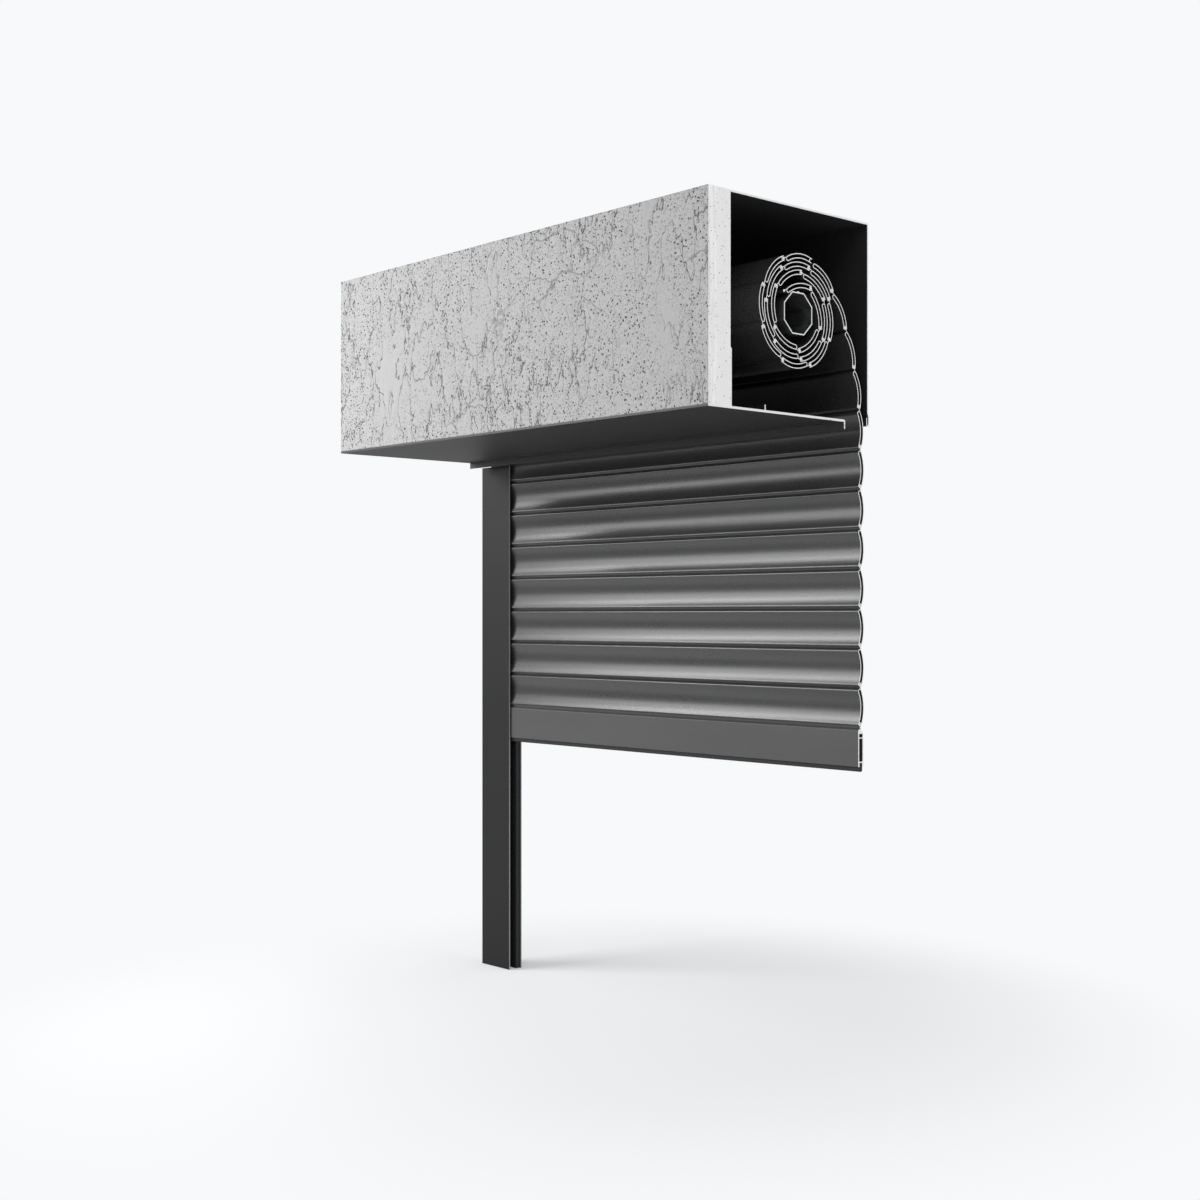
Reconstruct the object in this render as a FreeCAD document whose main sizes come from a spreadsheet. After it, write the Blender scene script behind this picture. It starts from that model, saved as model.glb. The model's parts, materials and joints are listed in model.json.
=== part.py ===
import FreeCAD, Part
import Sketcher
import math
import os

# A built-in exterior roller shutter, shown as a sample cut by one plane at its right end.
# Millimetres. X runs along the curtain, Y from the outer face to the room, Z up.
# The origin is under the middle of the part, on the plane of the rail's foot.

os.makedirs("parts", exist_ok=True)
doc = FreeCAD.newDocument("RollerShutter")
sheet = doc.addObject("Spreadsheet::Sheet", "Sizes")

driving = {
    # box and cladding
    "overall_width": 596,
    "coat_thickness": 11,
    "board_thickness": 18,
    "chamber_depth": 195,
    "chamber_height": 195,
    "chamber_floor": 623.2,
    "panel_thickness": 1.5,
    "roof_thickness": 1.8,
    "foot_jog": 1.5,
    "foot_below_floor": 3.5,
    "foot_hook_height": 7.7,
    "foot_hook_gap": 1.3,
    "foot_hook_wall": 1,
    "jog_length": 4,
    "edge_strip_height": 54,
    "edge_strip_thickness": 1.6,
    "side_plate_thickness": 4,
    # inspection cover
    "cover_thickness": 2.2,
    "cover_to_rail": 17.5,
    "cover_lip_height": 9,
    "cover_lip_thickness": 1.6,
    "cover_rib_height": 5,
    "cover_rib_thickness": 1.4,
    "cover_rib_place": 74.7,
    "cover_groove_place": 168,
    "cover_groove_width": 1.2,
    "cover_groove_deep": 0.6,
    # slats
    "slat_pitch": 39,
    "slat_span": 33,
    "slat_bow": 3.6,
    "slat_wall": 0.8,
    "ring_outer": 2.4,
    "ring_inner": 1.6,
    "bead_radius": 1.3,
    "neck_width": 0.9,
    "neck_lean": 15,
    "ring_gap_rear": 48,
    "ring_gap_front": 173,
    "curtain_to_rear": 11.3,
    "straight_slats": 7,
    "chain_lean_1": 2.4,
    "chain_lean_2": 11,
    "chain_lean_3": 19.2,
    "chain_lean_4": 30,
    "wound_slats": 22,
    "winding_gap": 2.2,
    "leaving_angle": 29,
    "leaving_lift": 1,
    "first_turn_radius": 31.8,
    # shaft and motor
    "tube_across_flats": 40,
    "tube_wall": 1.1,
    "tube_from_front": 92.5,
    "tube_above_floor": 95.3,
    "tube_seam_width": 3,
    "tube_seam_height": 0.9,
    "motor_radius": 17.4,
    "motor_length": 400,
    "motor_head_radius": 23,
    "motor_head_length": 11,
    "bracket_thickness": 3,
    "bracket_width": 86,
    "bracket_height": 64,
    "bracket_screw_margin": 10,
    "running_gap": 0.3,
    "tube_end_gap": 2,
    "crown_length": 14,
    "wheel_length": 18,
    "wheel_stub_radius": 6,
    "wheel_stub_length": 10,
    "hanger_count": 3,
    "hanger_width": 22,
    "hanger_foot": 11,
    "hanger_plate": 1.2,
    "hanger_reach": 27.5,
    # guide rail
    "rail_width": 53.5,
    "rail_to_floor": 7.2,
    "rail_wall": 1.3,
    "rail_chamber": 18,
    "seal_thickness": 1,
    "seal_width": 16,
    "seal_clearance": 0.3,
    "seal_below_top": 31,
    "slat_end_play": 4.7,
    "clip_thickness": 3,
    "rail_screws": 3,
    "screw_hole": 5.5,
    "screw_access": 12,
    "lowest_screw": 90,
    "screw_spacing": 220,
    "inlet_height": 22,
    "inlet_wall": 1.5,
    "inlet_flare": 5,
    "foot_plug_height": 12,
    # bottom bar
    "bar_thickness": 7.6,
    "bar_height": 41.5,
    "bar_wall": 1.2,
    "bar_web_place": 9,
    "bar_web": 1,
    "bar_seal_drop": 5.6,
    "bar_seal_width": 4,
    # small fasteners
    "plate_screws": 3,
    "fastener_shank": 2.4,
    "fastener_head": 5,
    "fastener_head_height": 1.2,
    "fastener_length": 9,
    "outlet_radius": 5,
    "grommet_radius": 8,
    "grommet_flange": 2,
}
for row, (alias, number) in enumerate(driving.items(), start=1):
    sheet.set(f"A{row}", alias.replace("_", " "))
    sheet.set(f"B{row}", str(number))
    sheet.setAlias(f"B{row}", alias)
doc.recompute()


def expression(text):
    """Put the sheet's name before each alias in an expression."""
    words = []
    word = ""
    for letter in text + " ":
        if letter.isalnum() or letter == "_":
            word += letter
            continue
        words.append("Sizes." + word if word in driving else word)
        words.append(letter)
        word = ""
    return "".join(words).strip()


def size(text):
    """The number that an expression over the sheet gives."""
    value = sheet.evalExpression(expression(text))
    return float(getattr(value, "Value", value))


# Places that several pieces share, as expressions over the sheet
left = "(-overall_width / 2)"
right = "(overall_width / 2)"
half_depth = "((coat_thickness + board_thickness + chamber_depth + panel_thickness + foot_jog) / 2)"
facade = f"(-{half_depth})"
board_front = f"({facade} + coat_thickness)"
chamber_front = f"({board_front} + board_thickness)"
chamber_rear = f"({chamber_front} + chamber_depth)"
back_plane = half_depth
chamber_top = "(chamber_floor + chamber_height)"
curtain_y = f"({chamber_rear} - curtain_to_rear)"
tube_y = f"({chamber_front} + tube_from_front)"
tube_z = "(chamber_floor + tube_above_floor)"
rail_front = f"({curtain_y} - ring_outer - seal_clearance - seal_thickness - rail_wall)"
rail_right = f"({left} + rail_width)"
cover_depth = f"({rail_front} - {facade} - cover_to_rail)"
inner_web = f"({left} + rail_chamber)"
rail_height = "(chamber_floor - rail_to_floor)"
seal_length = f"({rail_height} - seal_below_top)"
slat_left = f"({inner_web} + rail_wall + slat_end_play)"
slat_length = f"({right} - {slat_left})"
plate_inner = f"({left} + side_plate_thickness)"
bracket_inner = f"({plate_inner} + bracket_thickness)"
head_inner = f"({bracket_inner} + motor_head_length)"
tube_left = f"({head_inner} + tube_end_gap)"

nodes = {}


def keep(name, thing):
    """Make an object one of the part's pieces, under its own name."""
    thing.Label = name
    nodes[name] = thing
    return thing


def bind(thing, **properties):
    for name, text in properties.items():
        thing.setExpression(name, expression(text))


def put(thing, *place):
    """Place an object by expressions for its X, Y and Z, or only for the first of them."""
    for axis, text in zip("xyz", place):
        thing.setExpression(f"Placement.Base.{axis}", expression(text))
    return thing


def box(name, corner, lengths):
    thing = doc.addObject("Part::Box", name)
    bind(thing, Length=lengths[0], Width=lengths[1], Height=lengths[2])
    return put(thing, *corner)


def cylinder(name, radius, length, start, axis="z"):
    thing = doc.addObject("Part::Cylinder", name)
    bind(thing, Radius=radius, Height=length)
    turns = {
        "x": FreeCAD.Rotation(FreeCAD.Vector(0, 1, 0), 90),
        "y": FreeCAD.Rotation(FreeCAD.Vector(1, 0, 0), -90),
        "z": FreeCAD.Rotation(),
    }
    thing.Placement = FreeCAD.Placement(FreeCAD.Vector(), turns[axis])
    return put(thing, *start)


def fused(name, shapes):
    thing = doc.addObject("Part::MultiFuse", name)
    thing.Shapes = shapes
    thing.Refine = True
    return thing


def grouped(name, shapes):
    thing = doc.addObject("Part::Compound", name)
    thing.Links = shapes
    return thing


def cut(name, base, tool):
    thing = doc.addObject("Part::Cut", name)
    thing.Base = base
    thing.Tool = tool
    thing.Refine = True
    return thing


def arc_between(start, end, radius, big):
    """The arc of a radius that runs counter-clockwise between two points."""
    chord = end - start
    middle = (start + end) / 2
    rise = math.sqrt(max(radius ** 2 - (chord.Length / 2) ** 2, 0))
    side = FreeCAD.Vector(-chord.y, chord.x, 0).normalize()
    centre = middle + side * (rise if not big else -rise)
    first = math.atan2(start.y - centre.y, start.x - centre.x)
    last = math.atan2(end.y - centre.y, end.x - centre.x)
    if last < first:
        last += 2 * math.pi
    circle = Part.Circle(centre, FreeCAD.Vector(0, 0, 1), radius)
    return Part.ArcOfCircle(circle, first, last)


def draw(sketch, loop):
    """Draw a closed outline whose corners and arc radii are bound to the sheet.

    Each corner is (x, y), (x, y, radius, turn) or (x, y, radius, turn, "big"): the radius
    and turn belong to the edge that leaves it, and turn is "left" or "right".
    """
    points = [FreeCAD.Vector(size(corner[0]), size(corner[1]), 0) for corner in loop]
    first = sketch.GeometryCount
    count = len(loop)
    flipped = []
    for index, corner in enumerate(loop):
        start = points[index]
        end = points[(index + 1) % count]
        turns_right = len(corner) > 2 and corner[3] == "right"
        flipped.append(turns_right)
        if len(corner) == 2:
            sketch.addGeometry(Part.LineSegment(start, end))
            continue
        ends = (end, start) if turns_right else (start, end)
        sketch.addGeometry(arc_between(*ends, size(corner[2]), "big" in corner))
    for index, corner in enumerate(loop):
        edge = first + index
        following = (index + 1) % count
        start_side = 2 if flipped[index] else 1
        end_side = 1 if flipped[index] else 2
        next_side = 2 if flipped[following] else 1
        sketch.addConstraint(
            Sketcher.Constraint("Coincident", edge, end_side, first + following, next_side))
        for kind, text in (("DistanceX", corner[0]), ("DistanceY", corner[1])):
            rule = sketch.addConstraint(Sketcher.Constraint(kind, edge, start_side, size(text)))
            sketch.setExpression(f"Constraints[{rule}]", expression(text))
        if len(corner) > 2:
            rule = sketch.addConstraint(Sketcher.Constraint("Radius", edge, size(corner[2])))
            sketch.setExpression(f"Constraints[{rule}]", expression(corner[2]))


def profile(name, loops, length, start, plane="YZ_Plane"):
    """A body padded from outlines on one of its own origin planes."""
    body = doc.addObject("PartDesign::Body", name)
    sketch = body.newObject("Sketcher::SketchObject", name + "_outline")
    support = [item for item in body.Origin.OriginFeatures if item.Role == plane][0]
    sketch.AttachmentSupport = [(support, "")]
    sketch.MapMode = "FlatFace"
    for loop in loops:
        draw(sketch, loop)
    pad = body.newObject("PartDesign::Pad", name + "_pad")
    pad.Profile = sketch
    bind(pad, Length=length)
    sketch.Visibility = False
    return put(body, *start)


def rectangle(low_x, low_y, high_x, high_y):
    return [(low_x, low_y), (high_x, low_y), (high_x, high_y), (low_x, high_y)]


# Box: render coat, carrier board, edge strip, roof, rear panel and left side plate
keep("render_coat", box(
    "render_coat", (left, facade, "chamber_floor"),
    ("overall_width", "coat_thickness", "chamber_height + roof_thickness")))
keep("carrier_board", box(
    "carrier_board", (left, board_front, "chamber_floor"),
    ("overall_width", "board_thickness", "chamber_height")))
keep("edge_strip", profile(
    "edge_strip",
    [[("0", "0"), ("edge_strip_thickness", "0"),
      ("edge_strip_thickness", "edge_strip_height - edge_strip_thickness"),
      ("0", "edge_strip_height")]],
    "overall_width - side_plate_thickness", (plate_inner, chamber_front, "chamber_floor")))
keep("roof_panel", box(
    "roof_panel", (left, board_front, chamber_top),
    ("overall_width", "board_thickness + chamber_depth + panel_thickness", "roof_thickness")))

# The rear panel steps out near its foot and ends in a hook that turns up again
foot_z = "(-foot_below_floor)"
hook_y = "(-foot_hook_gap)"
hook_inner = f"({hook_y} + foot_hook_wall)"
hook_top = f"({foot_z} + foot_hook_height)"
foot_inside = f"({foot_z} + foot_hook_wall)"
step_z = f"({hook_top} + foot_hook_wall)"
panel_outline = [
    (hook_y, foot_z), ("panel_thickness + foot_jog", foot_z), ("panel_thickness + foot_jog", step_z),
    ("panel_thickness", f"{step_z} + jog_length"), ("panel_thickness", "chamber_height"),
    ("0", "chamber_height"), ("0", f"{step_z} + jog_length"), ("foot_jog", step_z),
    ("foot_jog", foot_inside), (hook_inner, foot_inside), (hook_inner, hook_top), (hook_y, hook_top),
]
rear_blank = profile(
    "rear_panel_blank", [panel_outline], "overall_width", (left, chamber_rear, "chamber_floor"))
plate_middle = f"({left} + side_plate_thickness / 2)"
fastener_heights = [
    f"(chamber_floor + chamber_height * {index} / (plate_screws + 1))"
    for index in range(1, round(size("plate_screws")) + 1)
]
shank_start = f"({chamber_rear} + panel_thickness - fastener_length)"
shanks = [
    cylinder(f"plate_shank_{index}", "fastener_shank / 2", "fastener_length",
             (plate_middle, shank_start, height), "y")
    for index, height in enumerate(fastener_heights)
]
heads = [
    cylinder(f"plate_head_{index}", "fastener_head / 2", "fastener_head_height",
             (f"{left} + fastener_head / 2", f"{chamber_rear} + panel_thickness", height), "y")
    for index, height in enumerate(fastener_heights)
]
outlet_x = f"({bracket_inner} + grommet_radius + 2 * running_gap)"
outlet_z = f"({chamber_top} - 3 * grommet_radius)"
outlet = cylinder("outlet_hole", "outlet_radius + grommet_flange", "2 * panel_thickness",
                  (outlet_x, f"{chamber_rear} - panel_thickness / 2", outlet_z), "y")
keep("rear_panel", cut("rear_panel", rear_blank, grouped("rear_panel_holes", shanks + [outlet])))
keep("side_plate_screws", grouped("side_plate_screws", [
    fused(f"plate_screw_{index}", [shank, head])
    for index, (shank, head) in enumerate(zip(shanks, heads))
]))
bracket_screw_places = [
    (f"{tube_y} + {side} * (bracket_width / 2 - bracket_screw_margin)",
     f"{tube_z} + {rise} * (bracket_height / 2 - bracket_screw_margin)")
    for side in (-1, 1) for rise in (-1, 1)
]
bracket_shanks = [
    cylinder(f"bracket_shank_{index}", "fastener_shank / 2",
             "side_plate_thickness + bracket_thickness", (left, along, up), "x")
    for index, (along, up) in enumerate(bracket_screw_places)
]
bracket_heads = [
    cylinder(f"bracket_head_{index}", "fastener_head / 2", "fastener_head_height",
             (bracket_inner, along, up), "x")
    for index, (along, up) in enumerate(bracket_screw_places)
]
plate_blank = box("side_plate_blank", (left, chamber_front, "chamber_floor"),
                  ("side_plate_thickness", "chamber_depth", "chamber_height"))
# the rear panel's hook passes through a notch in the plate's lower corner
hook_notch = box(
    "hook_notch", (left, f"{chamber_rear} + {hook_y} - running_gap", "chamber_floor"),
    ("side_plate_thickness", "foot_hook_gap + running_gap", f"{hook_top} + running_gap"))
keep("left_side_plate", cut(
    "left_side_plate", plate_blank, grouped("side_plate_holes", shanks + bracket_shanks + [hook_notch])))

# A rubber grommet lines the outlet in the rear panel
grommet_outline = [
    ("outlet_radius", "-grommet_flange"), ("grommet_radius", "-grommet_flange"), ("grommet_radius", "0"),
    ("outlet_radius + grommet_flange", "0"), ("outlet_radius + grommet_flange", "panel_thickness"),
    ("outlet_radius", "panel_thickness"),
]
grommet = doc.addObject("PartDesign::Body", "cable_grommet")
grommet_sketch = grommet.newObject("Sketcher::SketchObject", "grommet_outline")
grommet_sketch.AttachmentSupport = [
    ([item for item in grommet.Origin.OriginFeatures if item.Role == "XY_Plane"][0], "")]
grommet_sketch.MapMode = "FlatFace"
draw(grommet_sketch, grommet_outline)
grommet_turn = grommet.newObject("PartDesign::Revolution", "grommet_turn")
grommet_turn.Profile = grommet_sketch
grommet_turn.ReferenceAxis = (grommet_sketch, ["V_Axis"])
grommet_turn.Angle = 360
keep("cable_grommet", put(grommet, outlet_x, chamber_rear, outlet_z))

# Inspection cover: a plate under the whole box, with a rib, a groove and a lip turned down
lip_inner = f"({cover_depth} - cover_lip_thickness)"
rib_end = "(cover_rib_place + cover_rib_thickness)"
cover_outline = [
    ("0", "-cover_thickness"),
    ("cover_groove_place", "-cover_thickness"),
    ("cover_groove_place", "-cover_thickness + cover_groove_deep"),
    ("cover_groove_place + cover_groove_width", "-cover_thickness + cover_groove_deep"),
    ("cover_groove_place + cover_groove_width", "-cover_thickness"),
    (lip_inner, "-cover_thickness"), (lip_inner, "-cover_lip_height"),
    (cover_depth, "-cover_lip_height"),
    (cover_depth, "-cover_lip_thickness", "cover_lip_thickness", "left"),
    (lip_inner, "0"),
    (rib_end, "0"), (rib_end, "cover_rib_height"), ("cover_rib_place", "cover_rib_height"),
    ("cover_rib_place", "0"), ("0", "0"),
]
cover_blank = profile(
    "cover_blank", [cover_outline], "overall_width", (left, facade, "chamber_floor"))
# the rib ends before the side plate
rib_relief = box(
    "rib_relief", (left, f"{facade} + cover_rib_place", "chamber_floor"),
    ("side_plate_thickness + running_gap", "cover_rib_thickness", "cover_rib_height"))
keep("inspection_cover", cut("inspection_cover", cover_blank, rib_relief))

# Guide rail: a hollow screw chamber beside the slot that the slats run in
rail_depth = f"({back_plane} - {rail_front})"
rail_loop = [
    ("0", "0"), ("rail_width", "0"), ("rail_width", "rail_wall"), ("rail_chamber + rail_wall", "rail_wall"),
    ("rail_chamber + rail_wall", f"{rail_depth} - rail_wall"), ("rail_width", f"{rail_depth} - rail_wall"),
    ("rail_width", rail_depth), ("0", rail_depth),
]
rail_hollow = rectangle("rail_wall", "rail_wall", "rail_chamber", f"{rail_depth} - rail_wall")
rail_blank = profile(
    "guide_rail_blank", [rail_loop, rail_hollow], rail_height, (left, rail_front, "0"), "XY_Plane")
rail_middle = f"(({rail_front} + {back_plane}) / 2)"
rail_holes = []
for index in range(round(size("rail_screws"))):
    height = f"(lowest_screw + {index} * screw_spacing)"
    rail_holes.append(cylinder(f"screw_hole_{index}", "screw_hole / 2", "2 * rail_wall",
                               (f"{left} - rail_wall / 2", rail_middle, height), "x"))
    rail_holes.append(cylinder(f"screw_access_{index}", "screw_access / 2", "2 * rail_wall",
                               (f"{inner_web} - rail_wall / 2", rail_middle, height), "x"))
keep("guide_rail", cut("guide_rail", rail_blank, grouped("rail_holes", rail_holes)))
keep("rail_foot_plug", box(
    "rail_foot_plug", (f"{left} + rail_wall", f"{rail_front} + rail_wall", "0"),
    ("rail_chamber - rail_wall", f"{rail_depth} - 2 * rail_wall", "foot_plug_height")))
seal_x = f"({rail_right} - seal_width - rail_wall)"
keep("rail_seal_front", box(
    "rail_seal_front", (seal_x, f"{rail_front} + rail_wall", "0"),
    ("seal_width", "seal_thickness", seal_length)))
rear_seal_y = f"({curtain_y} + ring_outer + slat_bow + 2 * seal_clearance)"
keep("rail_seal_rear", box(
    "rail_seal_rear", (seal_x, rear_seal_y, "0"),
    ("seal_width", f"{back_plane} - rail_wall - {rear_seal_y}", seal_length)))

# Inlet guide: a plastic funnel that stands on the rail and spreads towards the roll
inlet_jaw_front = [
    ("0", "0"), ("inlet_wall", "0"), ("inlet_wall - inlet_flare", "inlet_height"),
    ("-inlet_flare", "inlet_height"),
]
inlet_length = f"({rail_right} - {inner_web})"
front_jaw = profile(
    "inlet_front_jaw", [inlet_jaw_front], inlet_length, (inner_web, rail_front, rail_height))
rear_jaw_y = f"({chamber_rear} - foot_hook_gap - running_gap - inlet_wall)"
rear_jaw = box("inlet_rear_jaw", (inner_web, rear_jaw_y, rail_height),
               (inlet_length, "inlet_wall", "inlet_height"))
inlet_web = box("inlet_web", (inner_web, rail_front, rail_height),
                ("rail_wall", f"{rear_jaw_y} - {rail_front}", "foot_below_floor"))
keep("rail_inlet_guide", fused("rail_inlet_guide", [front_jaw, rear_jaw, inlet_web]))

# Tubular motor: a bracket on the side plate holds its head, and its body lies in the tube
bracket_blank = box(
    "bracket_blank",
    (plate_inner, f"{tube_y} - bracket_width / 2", f"{tube_z} - bracket_height / 2"),
    ("bracket_thickness", "bracket_width", "bracket_height"))
keep("motor_bracket", cut("motor_bracket", bracket_blank, grouped("bracket_holes", bracket_shanks)))
keep("motor_bracket_screws", grouped("motor_bracket_screws", [
    fused(f"bracket_screw_{index}", [shank, head])
    for index, (shank, head) in enumerate(zip(bracket_shanks, bracket_heads))
]))
keep("motor_head", cylinder(
    "motor_head", "motor_head_radius", "motor_head_length", (bracket_inner, tube_y, tube_z), "x"))
motor_blank = cylinder("motor_blank", "motor_radius", "motor_length", (head_inner, tube_y, tube_z), "x")
motor_end = f"({head_inner} + motor_length)"
stub_bore = cylinder(
    "stub_bore", "wheel_stub_radius + running_gap", "wheel_stub_length + running_gap",
    (f"{motor_end} - wheel_stub_length", tube_y, tube_z), "x")
keep("motor_tube", cut("motor_tube", motor_blank, stub_bore))

# Shaft: the octagonal tube with the motor's crown ring and drive wheel inside it
flat = "(tube_across_flats / 2)"
corner = f"({flat} * tan(22.5))"
tube_inside = f"({flat} - tube_wall)"
inside_corner = f"({tube_inside} * tan(22.5))"


def octagon(half, side, seam=False):
    """An eight-sided outline with flats up, down and at both sides."""
    outline = [
        (half, f"-{side}"), (half, side), (side, half), (f"-{side}", half),
        (f"-{half}", side), (f"-{half}", f"-{side}"), (f"-{side}", f"-{half}"), (side, f"-{half}"),
    ]
    if seam:
        top = f"({half} + tube_seam_height)"
        bump = [("tube_seam_width / 2", half), ("tube_seam_width / 4", top),
                ("-tube_seam_width / 4", top), ("-tube_seam_width / 2", half)]
        outline[3:3] = bump
    return outline


keep("octagonal_tube", profile(
    "octagonal_tube", [octagon(flat, corner, True), octagon(tube_inside, inside_corner)],
    f"{right} - {tube_left}", (tube_left, tube_y, tube_z)))
crown_blank = profile("crown_blank", [octagon(tube_inside, inside_corner)], "crown_length",
                      (tube_left, tube_y, tube_z))
crown_bore = cylinder("crown_bore", "motor_radius + running_gap", "crown_length * 2",
                      (f"{tube_left} - crown_length / 2", tube_y, tube_z), "x")
keep("motor_crown", cut("motor_crown", crown_blank, crown_bore))
wheel_disc = profile("wheel_disc", [octagon(tube_inside, inside_corner)], "wheel_length",
                     (f"{motor_end} + running_gap", tube_y, tube_z))
wheel_stub = cylinder("wheel_stub", "wheel_stub_radius", "wheel_stub_length",
                      (f"{motor_end} + running_gap - wheel_stub_length", tube_y, tube_z), "x")
keep("drive_wheel", fused("drive_wheel", [wheel_disc, wheel_stub]))

# Slat profile: an arched hollow slat with an open ring below and a bead on a leaning neck above.
# Its lower hinge is at the outline's origin and its bow points to +Y.
slope = "(2 * atan(2 * slat_bow / slat_span))"
bow_radius = f"(slat_span / 2 / sin({slope}))"
inner_half = "(ring_outer - slat_wall)"
crown_z = "slat_span"
drop = "(slat_pitch - slat_span)"


def on_circle(radius, angle, height="0"):
    return (f"{radius} * cos({angle})", f"{height} + {radius} * sin({angle})")


def along_neck(reach, side):
    """A corner of the neck: reach from the bead's middle, side -1 towards the outer face."""
    return (f"{reach} * sin(neck_lean) + {side} * neck_width / 2 * cos(neck_lean)",
            f"slat_pitch - {reach} * cos(neck_lean) + {side} * neck_width / 2 * sin(neck_lean)")


def neck_foot(side):
    offset = f"({drop} * sin(neck_lean) - {side} * neck_width / 2)"
    return f"({drop} * cos(neck_lean) - sqrt(ring_outer ^ 2 - {offset} ^ 2))"


bead_reach = "sqrt(bead_radius ^ 2 - neck_width ^ 2 / 4)"
top_outline = [
    (*on_circle("ring_outer", f"-{slope}"), f"({bow_radius} + ring_outer)", "left"),
    (*on_circle("ring_outer", slope, crown_z), "ring_outer", "left"),
    along_neck(neck_foot(1), 1),
    (*along_neck(bead_reach, 1), "bead_radius", "left", "big"),
    along_neck(bead_reach, -1),
    (*along_neck(neck_foot(-1), -1), "ring_outer", "left"),
    (*on_circle("ring_outer", f"180 deg + {slope}", crown_z), f"({bow_radius} - ring_outer)", "right"),
]
ring_outline = [
    (*on_circle("ring_outer", f"180 deg - {slope}"), "ring_outer", "left"),
    on_circle("ring_outer", "360 - ring_gap_front"),
    (*on_circle("ring_inner", "360 - ring_gap_front"), "ring_inner", "right", "big"),
    on_circle("ring_inner", "-ring_gap_rear"),
    (*on_circle("ring_outer", "-ring_gap_rear"), "ring_outer", "left"),
]
spread = f"asin({inner_half} / ring_outer)"
# an arc over half a turn is drawn a little flatter, so that its radius is never half its chord
flatter = 1.05
slat_hollow = [
    (*on_circle("ring_outer", f"90 deg - {slope} - {spread}"), f"({bow_radius} + {inner_half})", "left"),
    (*on_circle(inner_half, slope, crown_z), f"{flatter} * {inner_half}", "left"),
    (*on_circle(inner_half, f"180 deg + {slope}", crown_z), f"({bow_radius} - {inner_half})", "right"),
    (*on_circle("ring_outer", f"90 deg - {slope} + {spread}"), "ring_outer", "right"),
]
slat_body = profile("slat_body", [top_outline + ring_outline, slat_hollow], slat_length, ("0", "0", "0"))

# Bottom bar: the same bead and neck on a flat bar with two chambers and a groove for its seal
bar_rear = "(bar_thickness - ring_outer)"
bar_base = "(slat_pitch - bar_height)"
groove_left = f"(({bar_rear} - ring_outer - bar_seal_width) / 2)"
groove_right = f"({groove_left} + bar_seal_width)"
groove_top = f"({bar_base} + bar_seal_width)"
shoulder_z = f"({crown_z} - ring_outer)"
web_z = f"({crown_z} + ring_outer - bar_web_place)"
bar_outline = [
    ("-ring_outer", bar_base), (groove_left, bar_base), (groove_left, groove_top),
    (groove_right, groove_top), (groove_right, bar_base), (bar_rear, bar_base),
    (bar_rear, shoulder_z),
    (*on_circle("ring_outer", "0", crown_z), "ring_outer", "left"),
    along_neck(neck_foot(1), 1),
    (*along_neck(bead_reach, 1), "bead_radius", "left", "big"),
    along_neck(bead_reach, -1),
    (*along_neck(neck_foot(-1), -1), "ring_outer", "left"),
    on_circle("ring_outer", "180", crown_z),
]
bar_front_in = "(-ring_outer + bar_wall)"
bar_rear_in = f"({bar_rear} - bar_wall)"
lower_chamber = rectangle(bar_front_in, f"{groove_top} + bar_wall", bar_rear_in, f"{web_z} - bar_web")
upper_chamber = rectangle(bar_front_in, web_z, bar_rear_in, f"{shoulder_z} - bar_wall / 2")
keep("bottom_bar", profile(
    "bottom_bar", [bar_outline, lower_chamber, upper_chamber], slat_length, (slat_left, curtain_y)))
seal_round = f"({flatter} * bar_seal_width / 2)"
seal_low = f"({bar_base} - bar_seal_drop + {seal_round})"
keep("bottom_bar_seal", profile(
    "bottom_bar_seal",
    [[(groove_left, groove_top), (groove_left, seal_low, seal_round, "left"),
      (groove_right, seal_low), (groove_right, groove_top)]],
    slat_length, (slat_left, curtain_y)))
keep("bottom_bar_cap", profile(
    "bottom_bar_cap", [rectangle("-ring_outer", bar_base, bar_rear, shoulder_z)], "clip_thickness",
    (f"{slat_left} - clip_thickness", curtain_y)))
# the slat whose upper pivot is left open ends at its crown, without neck and bead
crown_top = f"({crown_z} + sqrt(ring_outer ^ 2 - neck_width ^ 2))"
slat_open = cut("slat_open", slat_body, box(
    "bead_trim", ("0", "-slat_pitch / 2", crown_top), (slat_length, "slat_pitch", "slat_pitch")))
clip_low = "(slat_span / 4)"
clip_outline = rectangle("-slat_wall", clip_low, "ring_outer + slat_bow - slat_wall", f"slat_span - {clip_low}")
clip_body = profile("clip_body", [clip_outline], "clip_thickness", ("0", "0", "0"))
doc.recompute()

# Where the slats lie, worked out in the plane across the curtain
pitch = size("slat_pitch")
axis_y = size(tube_y)
axis_z = size(tube_z)
hang_y = size(curtain_y)


def place_on_line(name, body, y, z, lean=0.0, x=None):
    """A copy of a body whose lower hinge is at (y, z), leaning by an angle in radians."""
    thing = doc.addObject("Part::Feature", name)
    thing.Shape = body.Shape.copy()
    turn = FreeCAD.Rotation(FreeCAD.Vector(1, 0, 0), math.degrees(lean))
    start = size(slat_left) if x is None else x
    thing.Placement = FreeCAD.Placement(FreeCAD.Vector(start, y, z), turn)
    return thing


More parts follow.
